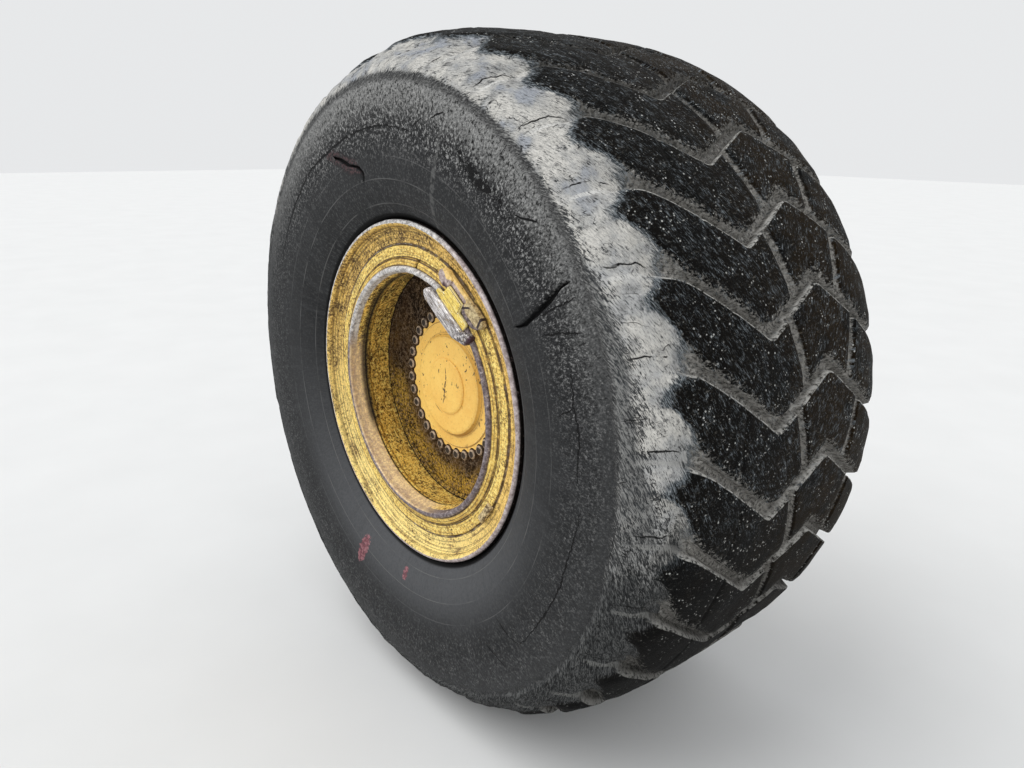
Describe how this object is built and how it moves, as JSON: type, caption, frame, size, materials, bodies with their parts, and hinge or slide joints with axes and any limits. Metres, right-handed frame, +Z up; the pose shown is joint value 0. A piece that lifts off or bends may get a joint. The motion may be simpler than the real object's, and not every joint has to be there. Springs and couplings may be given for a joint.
{
  "type": "dump truck wheel end",
  "caption": "Rear wheel end of an articulated dump truck: lugged tyre on a multi-piece rim, planetary hub turning freely on its spindle, disc brake, and a casing stub with a bolt flange.",
  "frame": {"origin": "centre of the casing flange's mounting face, on the wheel's axis", "axes": "+Y along the axle, out of the mounting face towards the vehicle, so the wheel is on -Y; +X towards the vehicle's front; +Z up"},
  "size_m": [1.574, 0.835, 1.574],
  "materials": {
    "tyre": "worn black rubber with dusty shoulders",
    "rim_paint": "yellow paint, rusted and speckled, edges worn to steel",
    "hub_paint": "warm yellow paint, chipped",
    "casing_paint": "yellow paint under dried mud",
    "worn_steel": "steel scraped bright",
    "bare_steel": "machined, oily",
    "dirty_disc": "paint under brown-black dirt",
    "bolt_steel": "grey-brown, rusty",
    "brass": "dull",
    "brake_iron": "rubbed bright on its faces, rusty at its edge",
    "cast_grey": "dark cast iron under dust",
    "pad_lining": "dark friction lining"
  },
  "bodies": {
    "axle_end": {"casing": "casing_paint", "casing_flange": "casing_paint", "spindle": "bare_steel", "spindle_bolts": "bolt_steel", "brake_carrier": "cast_grey", "caliper_front": "cast_grey", "caliper_rear": "cast_grey", "brake_pads": "pad_lining"},
    "wheel": {"tyre": "tyre", "rim_base": "rim_paint", "outer_flange": "rim_paint", "inner_flange": "rim_paint", "bead_seat_band": "rim_paint", "lock_ring": "rim_paint", "driver_key": "rim_paint", "key_lugs": "worn_steel", "key_bar": "worn_steel", "wheel_disc": "dirty_disc", "wheel_bolts": "bolt_steel", "hub": "hub_paint", "hub_cover": "hub_paint", "hub_boss": "hub_paint", "valve": "brass", "brake_disc": "brake_iron", "brake_disc_bolts": "bolt_steel"}
  },
  "joints": [
    {"name": "wheel_spin", "type": "hinge", "parent": "axle_end", "child": "wheel", "pos_m": [0, -0.4, 0], "axis": [0, -1, 0], "continuous": true}
  ]
}
